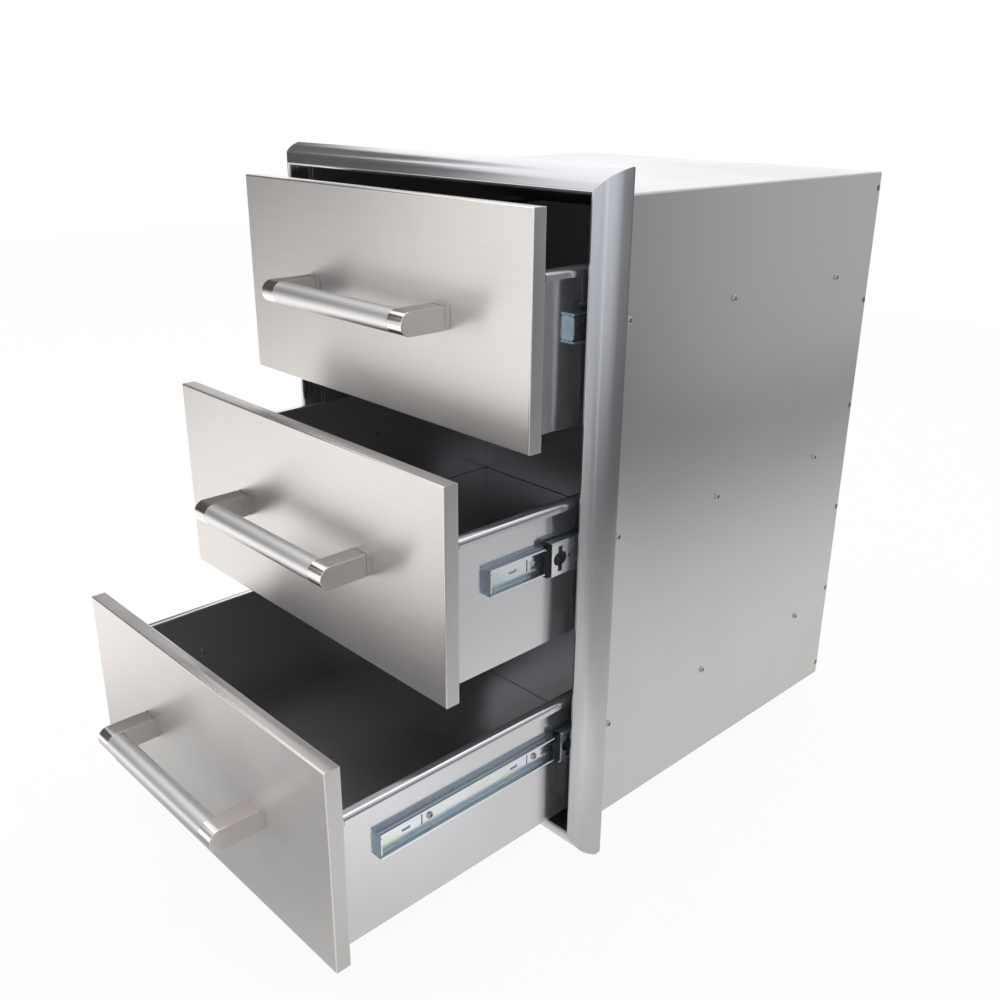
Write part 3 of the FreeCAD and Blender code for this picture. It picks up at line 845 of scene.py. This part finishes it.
@dataclass
class FaceFrame:
    """Four rolled profiles round the opening, mitred at the corners."""

    finishes: Finishes
    opening_half_width: float = 218.3
    opening_top: float = 319.6
    opening_bottom: float = -310.0
    face_width: float = 22.3
    bottom_width: float = 29.5
    nose_start: float = 26.14
    bends: tuple[Bend, ...] = (Bend(2.6, -90.0, 22.0, 12), Bend(33.7, 22.0, 47.2, 10),
                               Bend(16.4, 47.2, 72.0, 10), Bend(70.3, 72.0, 83.8, 6))
    top_corner_radius: float = 1.5
    bottom_corner_radius: float = 5.0
    sheet: float = 1.2
    box_half_width: float = 215.9
    box_half_height: float = 317.5
    seam: float = 0.35
    stock_depth: float = 40.0

    def corner(self, sign: int, is_top: bool) -> Vector:
        """Returns a corner of the opening."""
        height = self.opening_top if is_top else self.opening_bottom
        return Vector((sign * self.opening_half_width, 0, height))

    def tip(self, sign: int, is_top: bool) -> Vector:
        """Returns the outer end of the mitre at a corner."""
        rise = self.face_width if is_top else -self.bottom_width
        return self.corner(sign, is_top) + Vector((sign * self.face_width, 0, rise))

    def mitre(self, end: tuple[int, bool]) -> tuple[Vector, Vector]:
        """Returns a corner of the opening and the direction across its mitre."""
        corner = self.corner(*end)
        return corner, (self.tip(*end) - corner).cross(Vector((0, 1, 0))).normalized()

    def section(self, width: float) -> list[tuple[float, float]]:
        """Follows the profile from the opening's edge over its nose and its shoulder to the back.

        Args:
            width: Width of the profile across its face.

        Returns:
            Points, each with its distance outward from the opening and its place along Y.
        """
        points = [(0.0, -self.nose_start)]
        for bend in self.bends:
            x, y = points[-1]
            for step in range(1, bend.strips + 1):
                angle = bend.first + (bend.last - bend.first) * step / bend.strips
                points.append((x + bend.radius * (sine(angle) - sine(bend.first)),
                               y - bend.radius * (cosine(angle) - cosine(bend.first))))
        spread = width / self.face_width
        return [(x * spread, y) for x, y in points]

    def outline(self) -> Workpiece:
        """Makes a block over the whole frame, with its four outer corners rounded.

        Returns:
            The block.
        """
        low = Vector((self.tip(-1, False).x, -2 * self.stock_depth, self.tip(-1, False).z))
        high = Vector((self.tip(1, True).x, self.stock_depth, self.tip(1, True).z))
        block = Workpiece.block("outline", low, high)
        block.bevel(lambda m, d: abs(d.y) > ALONG and m.z > 0, self.top_corner_radius, strips=4)
        block.bevel(lambda m, d: abs(d.y) > ALONG and m.z < 0, self.bottom_corner_radius, strips=8)
        return block

    def bar(self, name: str, outward: Vector, width: float, ends: list[tuple[int, bool]],
            inward: float) -> Workpiece:
        """Models one length of the profile between its two mitres.

        Args:
            name: Name of the piece.
            outward: Direction away from the opening.
            width: Width of the profile across its face.
            ends: Sign and level of the two corners.
            inward: How far the back flange reaches past the opening's edge to the box.

        Returns:
            The piece.
        """
        first, second = (self.corner(*end) for end in ends)
        spare = (second - first).normalized() * 2 * width
        bar = Workpiece.block(name, first - spare + Vector((0, -self.stock_depth, 0)),
                              second + spare + outward * width)
        points = self.section(width)
        for (ax, ay), (bx, by) in zip(points, points[1:]):
            start = first + outward * ax + Vector((0, ay, 0))
            bar.cut(start, outward * (by - ay) - Vector((0, bx - ax, 0)))
        for end, other in zip(ends, ends[::-1]):
            corner, across = self.mitre(end)
            bar.cut(corner, -across if across.dot(self.corner(*other) - corner) > 0 else across)
        bar.combine(self.outline(), "INTERSECT")
        bar.tidy()
        for end in ends:
            corner, across = self.mitre(end)
            bar.bevel(lambda m, d: near((m - corner).dot(across), 0) and near(d.dot(across), 0)
                      and m.y < -CLEAR and (m - corner).dot(outward) > CLEAR, self.seam, strips=2)
        if inward > 0:
            low, high = first + outward, second - outward * inward
            low.y, high.y = -self.sheet, 0.0
            bar.join(Workpiece.block(name + "_flange", low, high))
        return bar

    def build(self) -> None:
        """Models and dresses the two rails and the two stiles."""
        looks = self.finishes
        rise = self.opening_top - self.box_half_height
        reach = self.opening_half_width - self.box_half_width
        up = Vector((0, 0, 1))
        top = self.bar("top_rail", up, self.face_width, [(-1, True), (1, True)], rise)
        top.finish(looks.frame_rail, "housing", "frame_steel", ["frame_top_rail"])
        low = self.bar("bottom_rail", -up, self.bottom_width, [(-1, False), (1, False)], 0)
        low.finish(looks.frame_rail, "housing", "frame_steel", ["frame_bottom_rail"])
        for side in Side:
            name = side.label + "_stile"
            ends = [(side.value, False), (side.value, True)]
            stile = self.bar(name, side.outward, self.face_width, ends, reach)
            stile.finish(looks.frame_stile, "housing", "frame_steel", ["frame_" + name])


@dataclass
class Box:
    """The sheet box in the island, with the screws that hold the slides to its sides."""

    finishes: Finishes
    half_width: float = 215.9
    screw_rows: tuple[float, ...] = (32.5, 192.5, 384.5)
    screw_heights: tuple[float, ...] = (209.15, 0.65, -207.85)
    screw: CrossScrew = CrossScrew(head_radius=3.5, head_height=1.9, shank_radius=2.0, shank_length=2.2)

    def build(self) -> None:
        """Dresses the box's packed sheets and models its screws."""
        dress("shell_wrap", self.finishes.box)
        dress("shell_floor", self.finishes.back)
        dress("shell_back", self.finishes.back)
        places = [(side.outward, Vector((side.value * self.half_width, y, z)))
                  for side in Side for y in self.screw_rows for z in self.screw_heights]
        screws = self.screw.set_in("box_screws", places)
        screws.finish(self.finishes.screw, "housing", "screw_steel", ["cabinet_screws"], SCREW_ANGLE)


@dataclass
class Drawer:
    """One drawer: its front, bar handle, tub and the slides that carry it."""

    finishes: Finishes
    level: Level
    way_out: float
    carriers_out: float
    front_top: float
    front_half_width: float = 212.4
    front_height: float = 204.5
    front_depth: float = 16.2
    front_sheet: float = 1.0
    face_y: float = -28.0
    edge_radius: float = 1.8
    back_radius: float = 2.0
    corner_radius: float = 0.5
    lip: float = 16.0
    handle_half_length: float = 109.0
    post_width: float = 20.0
    handle_diameter: float = 22.0
    handle_reach: float = 52.5
    tube_wall: float = 1.5
    tube_edge: float = 0.35
    tube_sides: int = 96
    spigot_length: float = 13.0
    spigot_seat: float = 1.0
    foot: float = 2.5
    groove: float = 0.9
    post_outer_edge: float = 0.8
    post_inner_edge: float = 0.3
    tub_half_width: float = 202.2
    tub_sheet: float = 1.0
    tub_front: float = -10.8
    tub_end: float = 413.0
    tub_top_drop: float = 51.0
    tub_floor_drop: float = 194.2
    tub_bend: float = 1.5
    hem_width: float = 9.2
    hem_drop: float = 8.5
    hem_bend: float = 4.6
    slide_web: float = 203.4
    slide_drop: float = 103.85
    slide_screws: tuple[float, ...] = (85.5, 217.5, 349.5)
    slide_screw: CrossScrew = CrossScrew(head_radius=3.4, head_height=1.9, shank_radius=2.0,
                                         shank_length=5.8)
    handle_screw: CrossScrew = CrossScrew(head_radius=4.7, head_height=3.0, shank_radius=2.5,
                                          shank_length=15.0, slot_length=5.4, slot_width=1.3,
                                          slot_depth=2.0)
    guide_low: Triple = (205.2, 17.2, -16.0)
    guide_high: Triple = (211.15, 29.5, 16.0)
    guide_hollow: float = 13.3
    guide_sheet: float = 1.35
    guide_edge: float = 0.3
    tongue_reach: float = 7.0
    tongue_half_height: float = 10.5
    notches: tuple[tuple[float, float], ...] = ((0.0, 3.4), (6.6, 1.8), (-6.6, 1.8))
    step_height: float = 14.65
    step_half: float = 0.7
    step_web: float = 2.4
    step_depth: float = 2.2

    @property
    def name(self) -> str:
        """Returns the drawer's prefix in the record."""
        return self.level.value

    @property
    def body(self) -> str:
        """Returns the body that the drawer's pieces move with."""
        return self.name + "_drawer"

    @property
    def face(self) -> float:
        """Returns the front face's place along Y."""
        return self.face_y - self.way_out

    @property
    def tip(self) -> float:
        """Returns the place along Y that the handle reaches out to."""
        return self.face - self.handle_reach

    @property
    def handle_z(self) -> float:
        """Returns the height of the handle's axis."""
        return self.front_top - self.front_height / 2

    def front(self) -> None:
        """Models the folded front with its rounded bends and the lips round its back."""
        low = Vector((-self.front_half_width, self.face, self.front_top - self.front_height))
        high = Vector((self.front_half_width, self.face + self.front_depth, self.front_top))
        pan = Workpiece.block(self.name + "_front", low, high)
        pan.bevel(lambda m, d: near(m.y, low.y), self.edge_radius, strips=4)
        pan.bevel(lambda m, d: near(m.y, high.y), self.back_radius, strips=4)
        pan.bevel(lambda m, d: near(abs(m.x), high.x) and abs(d.y) > ALONG, self.corner_radius, strips=2)
        pan.sink(lambda m, d: d.y > ALONG, self.lip - self.back_radius, Vector((0, -self.front_sheet, 0)))
        pan.tidy()
        pan.finish(self.finishes.front, self.body, "front_steel", [self.name + "_front_pan"])

    def tube(self) -> None:
        """Models the handle's tube with softened ends."""
        half = self.handle_half_length - self.post_width
        radius = self.handle_diameter / 2
        centre = Vector((0, self.tip + radius, self.handle_z))
        tube = Workpiece.rod(self.name + "_tube", centre, RIGHTWARD, radius, 2 * half, self.tube_sides)
        tube.bevel(lambda m, d: near(abs(m.x), half), self.tube_edge, strips=2)
        tube.combine(Workpiece.rod("bore", centre, RIGHTWARD, radius - self.tube_wall,
                                   2 * half + 5 * EXCESS, self.tube_sides), "DIFFERENCE")
        tube.tidy()
        tube.finish(self.finishes.tube, self.body, "handle_tube_steel", [self.name + "_handle_tube"],
                    HANDLE_ANGLE)

    def posts(self) -> None:
        """Models the end pieces, each a leg with a round nose, a groove above its foot and a spigot."""
        radius = self.handle_diameter / 2
        inner = self.handle_half_length - self.post_width
        low = Vector((inner, self.tip, self.handle_z - radius))
        high = Vector((self.handle_half_length, self.face, self.handle_z + radius))
        groove_end = self.face - self.foot
        groove_start = groove_end - self.groove
        spigot = Vector((inner + self.spigot_seat - self.spigot_length / 2, self.tip + radius,
                         self.handle_z))
        for side in Side:
            post = Workpiece.block(f"{self.name}_post_{side.label}", low, high)
            post.bevel(lambda m, d: near(m.y, low.y) and abs(d.x) > ALONG, radius - HAIR, strips=24)
            for y in (groove_start, groove_end):
                post.edit("FACE", anywhere, lambda: bpy.ops.mesh.bisect(
                    plane_co=(0, y * MM, 0), plane_no=(0, 1, 0), threshold=MERGE / 10))
            post.edit("FACE", lambda m, d: groove_start < m.y < groove_end,
                      lambda: bpy.ops.mesh.extrude_region_shrink_fatten(TRANSFORM_OT_shrink_fatten={
                          "value": -self.groove * MM, "use_even_offset": True}))
            for x, width, strips in ((high.x, self.post_outer_edge, 4), (low.x, self.post_inner_edge, 2)):
                post.bevel(lambda m, d: near(m.x, x) and m.y < groove_start - HAIR, width, strips)
            post.join(Workpiece.rod("spigot", spigot, RIGHTWARD, radius - self.tube_wall - CLEAR,
                                    self.spigot_length, sides=48))
            if side is Side.LEFT:
                post.mirror()
            else:
                post.tidy()
            node = f"{self.name}_handle_post_{side.label}"
            post.finish(self.finishes.post, self.body, "handle_post_steel", [node], HANDLE_ANGLE)

    def tub(self) -> None:
        """Folds the tub from one sheet: floor, walls and a rounded channel out along each top edge."""
        half = self.tub_half_width - self.tub_sheet / 2
        floor = self.front_top - self.tub_floor_drop + self.tub_sheet / 2
        top = self.front_top - self.tub_top_drop - self.tub_sheet / 2
        rim = half + self.hem_width
        near_end, far_end = self.tub_front - self.way_out, self.tub_end - self.way_out
        tub = Workpiece.sheet(self.name + "_tub_sheet", Vector((-half, near_end, floor)),
                              Vector((half, far_end, floor)))
        tub.fold(along_y(half, floor), Vector((0, 0, top - floor)))
        for side in Side:
            tub.fold(lambda m, d: m.x * side.value > 0 and along_y(half, top)(m, d),
                     Vector((side.value * self.hem_width, 0, 0)))
        tub.fold(along_y(rim, top), Vector((0, 0, self.tub_sheet / 2 - self.hem_drop)))
        tub.bevel(along_y(half, floor), self.tub_bend, strips=4)
        tub.bevel(along_y(half, top), self.tub_bend, strips=4)
        tub.bevel(along_y(rim, top), self.hem_bend, strips=8)
        tub.tidy()
        tub.apply("SOLIDIFY", thickness=self.tub_sheet * MM, offset=0.0, use_even_offset=True)
        tub.finish(self.finishes.tub, self.body, "tub_steel", [self.name + "_tub"])

    def screws(self) -> None:
        """Sets the screws of the slides and, inside the front, those of the handle."""
        height = self.front_top - self.slide_drop
        places = [(side.outward, Vector((side.value * self.slide_web, y - self.way_out, height)))
                  for side in Side for y in self.slide_screws]
        screws = self.slide_screw.set_in(self.name + "_slide_screws", places)
        reach = self.handle_half_length - self.post_width / 2
        seat = self.face_y + self.front_sheet - self.way_out
        places = [(Vector((0, 1, 0)), Vector((side.value * reach, seat, self.handle_z))) for side in Side]
        screws.join(self.handle_screw.set_in(self.name + "_handle_screws", places))
        screws.finish(self.finishes.screw, self.body, "screw_steel", [self.name + "_drawer_screws"],
                      SCREW_ANGLE)

    def guides(self) -> None:
        """Moulds the plastic guide in the carrier's mouth, with a toothed tongue, and its left twin."""
        low, high = Vector(self.guide_low), Vector(self.guide_high)
        web = high.x - self.guide_sheet
        tip = low.y - self.tongue_reach
        guide = Workpiece.block(self.name + "_guides", low, high)
        hollow = Workpiece.block("hollow", Vector((low.x - EXCESS, low.y - EXCESS, -self.guide_hollow)),
                                 Vector((web, high.y + EXCESS, self.guide_hollow)))
        guide.combine(hollow, "DIFFERENCE")
        tongue = Workpiece.block("tongue", Vector((web, tip, -self.tongue_half_height)),
                                 Vector((high.x, low.y + EXCESS / 2, self.tongue_half_height)))
        for height, radius in self.notches:
            middle = Vector((web, tip, height))
            notch = Workpiece.rod("notch", middle, RIGHTWARD, radius, 4 * EXCESS, sides=24)
            tongue.combine(notch, "DIFFERENCE")
        guide.combine(tongue, "UNION")
        for height in (-self.step_height, self.step_height):
            step = Workpiece.block(
                "step", Vector((low.x - EXCESS / 2, low.y - EXCESS / 2, height - self.step_half)),
                Vector((high.x - self.step_web, low.y + self.step_depth, height + self.step_half)))
            guide.combine(step, "DIFFERENCE")
        guide.bevel(lambda m, d: near(m.x, high.x), self.guide_edge, strips=2)
        guide.tidy()
        guide.shift(Vector((0, -self.carriers_out, self.front_top - self.slide_drop)))
        twin = guide.twin("twin", Vector((0, 0, 0)))
        twin.mirror()
        guide.join(twin)
        guide.finish(self.finishes.guide, self.name + "_carriers", "guide_plastic",
                     [self.name + "_carrier_bumpers"])

    def build(self) -> None:
        """Models the front, the handle and the tub, and dresses the slides."""
        for step in (self.front, self.tube, self.posts, self.tub, self.screws, self.guides):
            step()
        looks = self.finishes
        dress(self.name + "_tub_back", looks.tub)
        dress(self.name + "_front_liner", looks.liner)
        for side in Side:
            for member in ("cabinet_member", "carrier", "drawer_member"):
                dress(f"{self.name}_{member}_{side.label}", looks.zinc)
        dress(self.name + "_outer_ball_cages", looks.cage)
        dress(self.name + "_inner_ball_cages", looks.cage)


# Studio


@dataclass(frozen=True)
class SkyPatch:
    """A soft round patch of light or shade in the surroundings, that the steel reflects."""

    turn: float
    rise: float
    wide: float
    soft: float
    colour: Triple

    def heading(self) -> Vector:
        """Returns the direction of its middle. Turn counts from +X towards +Y, rise from the horizon."""
        level = cosine(self.rise)
        return Vector((level * cosine(self.turn), level * sine(self.turn), sine(self.rise)))


@dataclass(frozen=True)
class SkyBand:
    """A level band of shade in the surroundings, between two heights and on both sides of a direction."""

    turn: float
    reach: float
    low: float
    high: float
    soft: float
    colour: Triple

    def share(self, bench: NodeBench, heading: Socket) -> Socket:
        """Builds the band's share in the direction that is looked in.

        Args:
            bench: Node bench of the world.
            heading: The direction.

        Returns:
            The share, 1 inside the band.
        """
        up = bench.part(heading, "Z")
        level = bench.vector("NORMALIZE", bench.vector("MULTIPLY", heading, (1, 1, 0)))
        dot = bench.vector("DOT_PRODUCT", level, (cosine(self.turn), sine(self.turn), 0))
        over = bench.ramp(up, sine(self.low - self.soft), sine(self.low))
        under = bench.ramp(up, sine(self.high + self.soft), sine(self.high))
        beside = bench.ramp(dot, cosine(self.reach + self.soft), cosine(self.reach))
        return bench.math("MULTIPLY", bench.math("MULTIPLY", over, under), beside)


@dataclass(frozen=True)
class TablePatch:
    """A soft round pool of light or shade on the table, in metres, that the steel reflects."""

    x: float
    y: float
    inner: float
    outer: float
    colour: Triple


@dataclass
class Studio:
    """Pale table, soft surroundings, one lamp and the camera at the photograph's angle."""

    table_z: float = -0.3402
    table_middle: tuple[float, float] = (-1.9, -0.5)
    table_size: tuple[float, float] = (6.0, 7.0)
    table_shade_span: tuple[float, float] = (0.34, 1.00)
    table_lit_tone: Triple = (0.80, 0.80, 0.79)
    table_shaded_tone: Triple = (0.26, 0.26, 0.26)
    speck_dark: Triple = (0.84, 0.83, 0.81)
    speck_pale: Triple = (0.88, 0.87, 0.85)
    speck_cells: float = 40.0
    mirrored_share: float = 0.9
    whitened_share: float = 0.94
    lamp_place: Triple = (-1.4, -0.3, 2.0)
    lamp_size: float = 1.4
    lamp_watts: float = 16.0
    lamp_colour: Triple = (1.0, 0.98, 0.95)
    camera_place: Triple = (0.8094, -0.6931, 0.3991)
    camera_turn: Triple = (1.8178, 0.7839, -0.5234)
    focal_length: float = 38.12
    sensor_width: float = 36.0
    lens_shift: tuple[float, float] = (-0.00176, 0.00172)
    sky: Triple = (0.55, 0.56, 0.59)
    ground: Triple = (0.34, 0.35, 0.36)
    horizon: float = 0.06
    sky_patches: tuple[SkyPatch, ...] = (
        SkyPatch(142.0, 55.0, 46.0, 18.0, (1.40, 1.40, 1.42)),
        SkyPatch(122.0, 2.0, 14.0, 12.0, (1.34, 1.34, 1.33)),
        SkyPatch(177.0, 0.0, 22.0, 10.0, (0.30, 0.30, 0.31)),
        SkyPatch(-90.0, -6.0, 16.0, 11.0, (1.00, 1.05, 1.18)),
        SkyPatch(-166.0, 8.0, 19.0, 12.0, (0.08, 0.08, 0.08)),
        SkyPatch(-120.0, -8.0, 17.0, 11.0, (1.70, 1.64, 1.60)),
        SkyPatch(-5.0, -22.0, 26.0, 14.0, (0.15, 0.15, 0.155)),
        SkyPatch(32.0, -6.0, 18.0, 12.0, (0.16, 0.16, 0.165)),
        SkyPatch(70.0, -6.0, 12.0, 12.0, (0.60, 0.61, 0.61)),
        SkyPatch(-40.0, 6.0, 8.0, 24.0, (1.15, 1.20, 1.27)),
        SkyPatch(-10.0, 6.0, 8.0, 20.0, (0.98, 1.02, 1.08)),
    )
    sky_bands: tuple[SkyBand, ...] = (
        SkyBand(-179.0, 26.0, 9.0, 35.5, 4.0, (0.09, 0.09, 0.09)),
        SkyBand(168.0, 17.0, 9.0, 20.0, 4.0, (0.11, 0.11, 0.115)),
    )
    table_patches: tuple[TablePatch, ...] = (
        TablePatch(-1.0, -1.5, 0.5, 1.3, (1.80, 1.73, 1.69)),
        TablePatch(-0.9, -0.38, 0.3, 0.65, (1.50, 1.44, 1.41)),
        TablePatch(0.1, -1.9, 0.4, 0.9, (1.40, 1.45, 1.52)),
        TablePatch(0.9, -0.85, 0.3, 0.7, (0.20, 0.20, 0.20)),
        TablePatch(0.0, -0.55, 0.1, 0.35, (0.42, 0.42, 0.44)),
        TablePatch(0.80, 0.45, 0.05, 0.30, (0.62, 0.62, 0.63)),
        TablePatch(0.42, -0.14, 0.03, 0.2, (1.05, 1.05, 1.06)),
    )

    def world(self) -> None:
        """Builds the surroundings: white to the camera, and soft patches of light and shade to all else."""
        world = bpy.data.worlds.new("studio")
        bpy.context.scene.world = world
        world.use_nodes = True
        bench = NodeBench(world.node_tree)
        heading = bench.place("Generated")
        level = bench.ramp(bench.part(heading, "Z"), -self.horizon, self.horizon)
        colour = bench.mix(level, self.ground, self.sky)
        for patch in self.sky_patches:
            dot = bench.vector("DOT_PRODUCT", heading, patch.heading())
            share = bench.ramp(dot, cosine(patch.wide + patch.soft), cosine(patch.wide))
            colour = bench.mix(share, colour, patch.colour)
        for band in self.sky_bands:
            colour = bench.mix(band.share(bench, heading), colour, band.colour)
        lit, white = (bench.add("ShaderNodeBackground", {"Color": tone, "Strength": 1.0}).outputs[0]
                      for tone in (colour, WHITE))
        mixed = bench.shade(bench.ray("Is Camera Ray"), lit, white)
        bench.add("ShaderNodeOutputWorld", {"Surface": mixed})

    def table(self) -> None:
        """Lays a pale table under the unit, larger to the left and front than to the right. To reflections it
        glows with painted light that fades to painted shade on the right, with painted pools of light and
        shade.
        """
        bpy.ops.mesh.primitive_plane_add(size=1, location=(*self.table_middle, self.table_z))
        table = bpy.context.active_object
        table.name = "table"
        table.scale = (*self.table_size, 1)
        bpy.ops.object.transform_apply(location=True, rotation=True, scale=True)
        material, bench = NodeBench.material("table_white")
        place = bench.place()
        # Painted light and shade for reflections: light on the left fading to shade on the right, then the
        # pools
        colour = bench.mix(bench.ramp(bench.part(place, "X"), *self.table_shade_span), self.table_lit_tone,
                           self.table_shaded_tone)
        for patch in self.table_patches:
            away = bench.vector("DISTANCE", place, (patch.x, patch.y, self.table_z))
            colour = bench.mix(bench.ramp(away, patch.outer, patch.inner), colour, patch.colour)
        speck = bench.ramp(bench.noise(self.speck_cells, detail=3.0), *MIDDLE)
        tone = bench.mix(speck, self.speck_dark, self.speck_pale)
        matt = bench.add("ShaderNodeBsdfDiffuse", {"Color": tone}).outputs[0]
        seen, shown = (bench.add("ShaderNodeEmission", {"Color": tone, "Strength": 1.0}).outputs[0]
                       for tone in (WHITE, colour))
        mirrored = bench.math("MULTIPLY", bench.ray("Is Glossy Ray"), self.mirrored_share)
        whitened = bench.math("MULTIPLY", bench.ray("Is Camera Ray"), self.whitened_share)
        mixed = bench.shade(whitened, bench.shade(mirrored, matt, shown), seen)
        bench.add("ShaderNodeOutputMaterial", {"Surface": mixed})
        table.data.materials.append(material)

    def lamp(self) -> None:
        """Hangs one soft lamp that points at the unit and that the steel doesn't mirror."""
        light = bpy.data.lights.new("key", "AREA")
        light.shape = "SQUARE"
        light.size = self.lamp_size
        light.energy = self.lamp_watts
        light.color = self.lamp_colour
        lamp = bpy.data.objects.new("key", light)
        lamp.visible_glossy = False
        lamp.location = self.lamp_place
        lamp.rotation_euler = (-Vector(self.lamp_place)).to_track_quat("-Z", "Y").to_euler()
        bpy.context.scene.collection.objects.link(lamp)

    def camera(self) -> None:
        """Sets the camera to the photograph's place, angle and lens."""
        turn = Vector(self.camera_turn)
        facing = Matrix.Rotation(turn.length, 3, turn.normalized())
        flip = Matrix(((1, 0, 0), (0, -1, 0), (0, 0, -1)))
        pose = (flip @ facing).transposed().to_4x4()
        pose.translation = Vector(self.camera_place)
        lens = bpy.data.cameras.new("camera")
        lens.sensor_width = self.sensor_width
        lens.lens = self.focal_length
        lens.shift_x, lens.shift_y = self.lens_shift
        camera = bpy.data.objects.new("camera", lens)
        camera.matrix_world = pose
        bpy.context.scene.collection.objects.link(camera)
        bpy.context.scene.camera = camera

    def build(self) -> None:
        """Sets up the table, the surroundings, the lamp and the camera."""
        bpy.context.scene.view_settings.view_transform = "Standard"
        self.world()
        self.table()
        self.lamp()
        self.camera()


def main() -> None:
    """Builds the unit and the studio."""
    logging.basicConfig(level=logging.INFO, format="%(message)s")
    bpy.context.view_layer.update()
    Studio().build()
    finishes = Finishes()
    drawers = (Drawer(finishes, Level.TOP, way_out=59.3, carriers_out=29.6, front_top=313.0),
               Drawer(finishes, Level.MIDDLE, way_out=154.4, carriers_out=76.5, front_top=104.5),
               Drawer(finishes, Level.BOTTOM, way_out=281.3, carriers_out=56.5, front_top=-104.0))
    for assembly in (FaceFrame(finishes), Box(finishes), *drawers):
        assembly.build()


if __name__ == "__main__":
    main()
